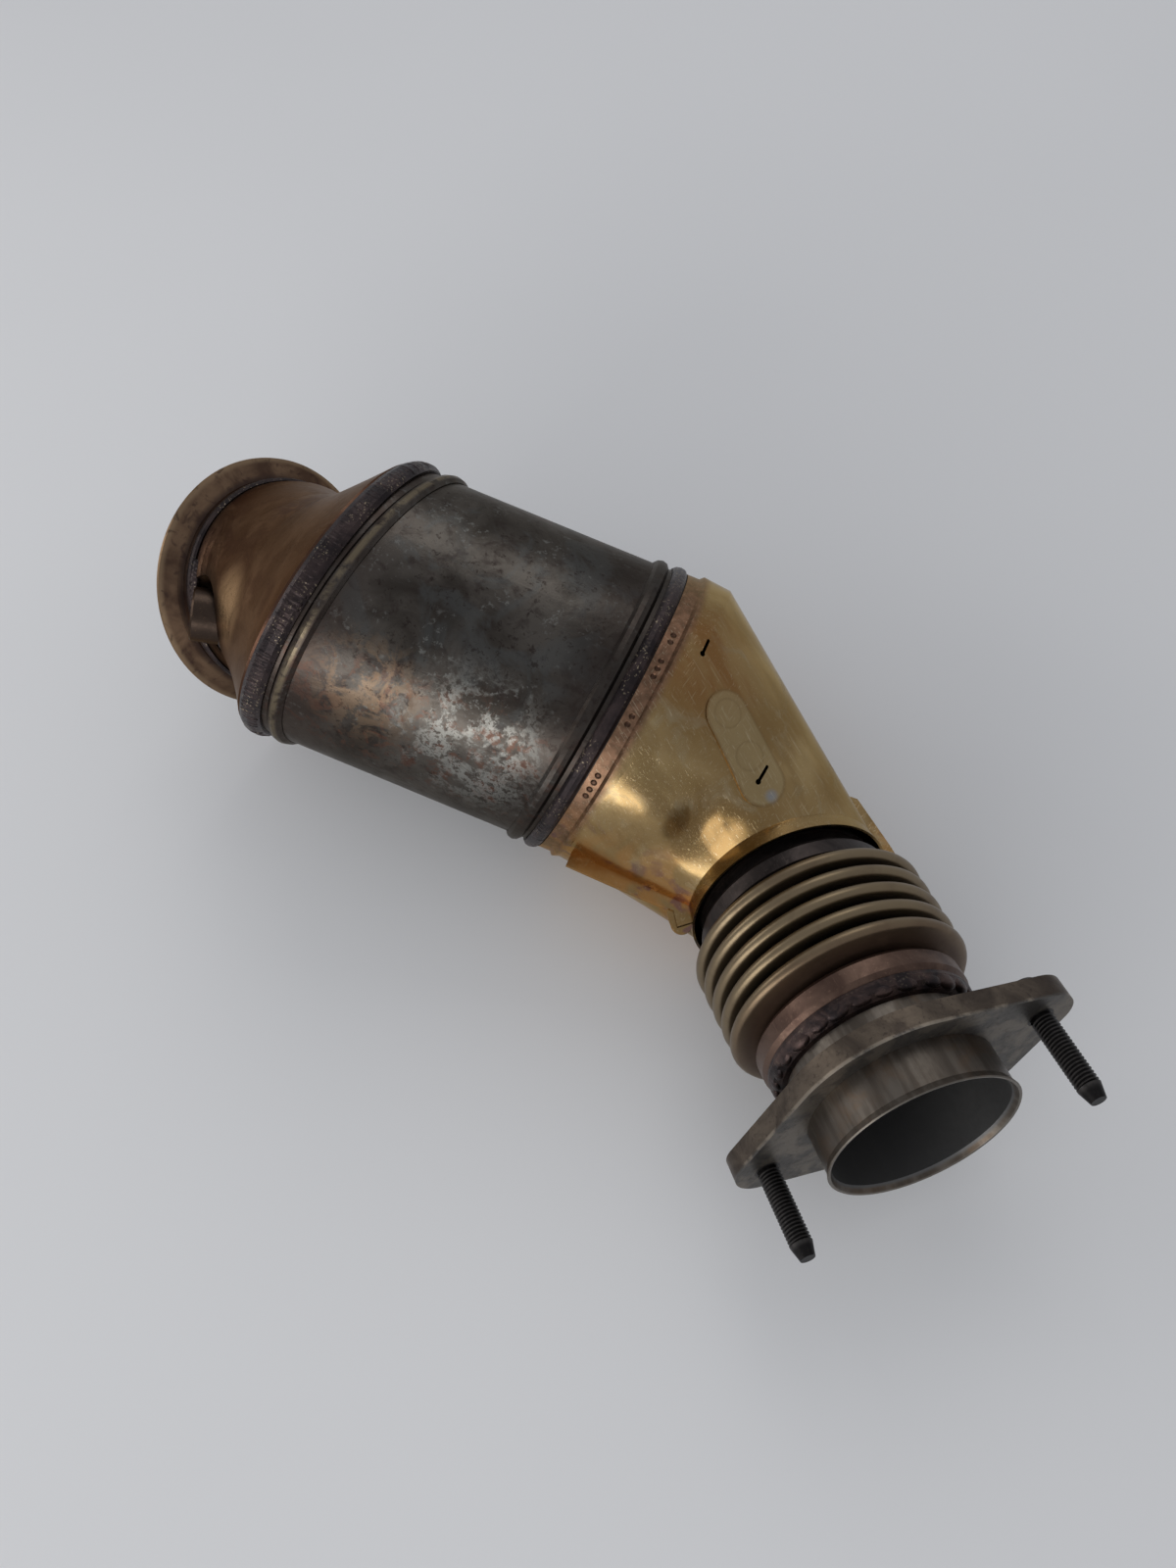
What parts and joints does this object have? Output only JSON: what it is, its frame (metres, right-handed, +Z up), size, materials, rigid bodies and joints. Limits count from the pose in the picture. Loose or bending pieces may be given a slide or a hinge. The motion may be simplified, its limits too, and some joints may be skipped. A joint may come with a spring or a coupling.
{
  "type": "catalytic converter",
  "caption": "Close-coupled catalytic converter with clamp-flange inlet, sensor boss, round can, gold heat shield, flexible bellows and two-stud outlet flange.",
  "frame": {"origin": "centre of the footprint, on the floor the part lies on", "axes": "+Z up as it lies at rest, +X along the can towards the outlet as seen from above, +Y to the outside of the elbow"},
  "size_m": [0.3969, 0.2496, 0.1509],
  "materials": {
    "can_steel": "heat-darkened, mottled satin",
    "bronzed_steel": "bronze heat tint, satin",
    "weld": "dark rippled weld",
    "ceramic": "matt honeycomb",
    "mat": "matt fibre",
    "shield": "gold heat tint, bright satin",
    "bellows": "olive bronze, satin",
    "flange_steel": "grey-brown, matt",
    "stud_steel": "black oxide"
  },
  "bodies": {
    "root": {"can_shell": "can_steel", "ceramic_brick": "ceramic", "mounting_mat": "mat", "inlet_vband_flange": "bronzed_steel", "inlet_cone": "bronzed_steel", "sensor_boss": "bronzed_steel", "sensor_boss_weld": "weld", "inlet_neck_weld": "weld", "inlet_ring_weld": "weld", "outlet_cone": "bronzed_steel", "outlet_ring_weld": "weld", "heat_shield_upper": "shield", "heat_shield_lower": "shield", "neck_tube": "weld", "bellows": "bellows", "bellows_front_collar": "weld", "bellows_rear_collar": "bronzed_steel", "bellows_rear_weld": "weld", "flex_liner": "bronzed_steel", "outlet_pipe": "flange_steel", "outlet_flange": "flange_steel", "stud_left": "stud_steel", "stud_right": "stud_steel", "flange_weld": "weld"}
  },
  "joints": []
}
